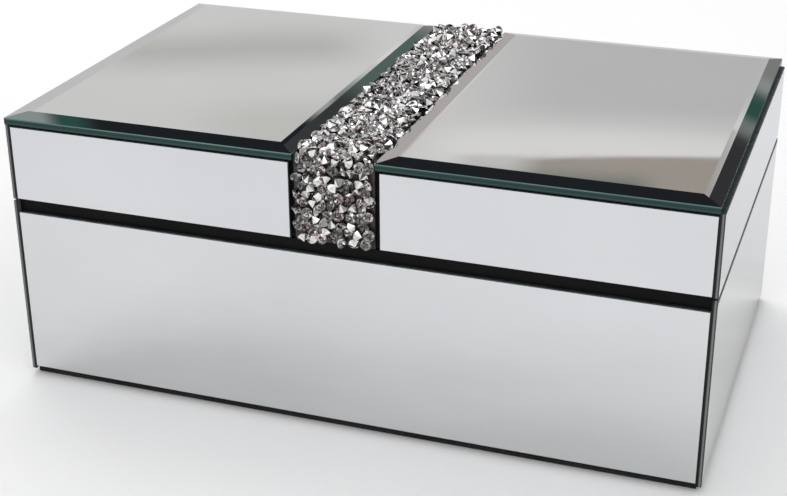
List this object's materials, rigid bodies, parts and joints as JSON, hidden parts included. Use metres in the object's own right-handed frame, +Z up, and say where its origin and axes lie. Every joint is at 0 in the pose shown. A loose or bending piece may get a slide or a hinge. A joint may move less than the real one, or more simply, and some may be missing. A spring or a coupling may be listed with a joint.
{
  "type": "vanity trinket box",
  "caption": "Rectangular mirrored trinket box with a hinged lid, bevelled mirror slabs on top, a band of faceted stones and a velvet-lined interior.",
  "frame": {"origin": "centre of the felt underside, at the level of the surface that the box stands on", "axes": "+X along the width, +Y from the front to the hinged back, +Z up"},
  "size_m": [0.28, 0.1794, 0.1168],
  "materials": {
    "mirror_panel": "polished silvered glass with ground arrises",
    "bevelled_mirror": "polished silvered glass, bevelled, green at the edges",
    "faceted_stone": "faceted, silver foil on the back",
    "stone_bed": "matt black mesh and glue",
    "black_board": "fibreboard painted matt black",
    "velvet": "short black velvet pile",
    "felt": "black felt",
    "nickel_steel": "nickel plated"
  },
  "bodies": {
    "base": {"felt_base": "felt", "base_bottom_board": "black_board", "base_front_wall": "black_board", "base_back_wall": "black_board", "base_left_wall": "black_board", "base_right_wall": "black_board", "base_front_mirror": "mirror_panel", "base_back_mirror": "mirror_panel", "base_left_mirror": "mirror_panel", "base_right_mirror": "mirror_panel", "floor_lining": "velvet", "front_wall_lining": "velvet", "back_wall_lining": "velvet", "left_wall_lining": "velvet", "right_wall_lining": "velvet", "divider": "velvet", "ring_pad_base": "velvet", "ring_rolls": "velvet", "lid_rest_pads": "felt", "left_hinge_base_leaf": "nickel_steel", "right_hinge_base_leaf": "nickel_steel", "hinge_pins": "nickel_steel", "base_hinge_screws": "nickel_steel"},
    "lid": {"lid_board": "black_board", "lid_front_rail": "black_board", "lid_back_rail": "black_board", "lid_left_rail": "black_board", "lid_right_rail": "black_board", "lid_front_left_mirror": "mirror_panel", "lid_front_right_mirror": "mirror_panel", "lid_back_mirror": "mirror_panel", "lid_left_mirror": "mirror_panel", "lid_right_mirror": "mirror_panel", "top_left_slab": "bevelled_mirror", "top_right_slab": "bevelled_mirror", "top_stone_bed": "stone_bed", "front_stone_bed": "stone_bed", "top_stones": "faceted_stone", "front_stones": "faceted_stone", "lid_lining": "velvet", "lid_front_lining": "velvet", "lid_back_lining": "velvet", "lid_left_lining": "velvet", "lid_right_lining": "velvet", "left_hinge_lid_leaf": "nickel_steel", "right_hinge_lid_leaf": "nickel_steel", "lid_hinge_screws": "nickel_steel"}
  },
  "joints": [
    {"name": "lid_hinge", "type": "hinge", "parent": "base", "child": "lid", "pos_m": [0, 0.0874, 0.079], "axis": [-1, 0, 0], "range_deg": [0, 100]}
  ]
}
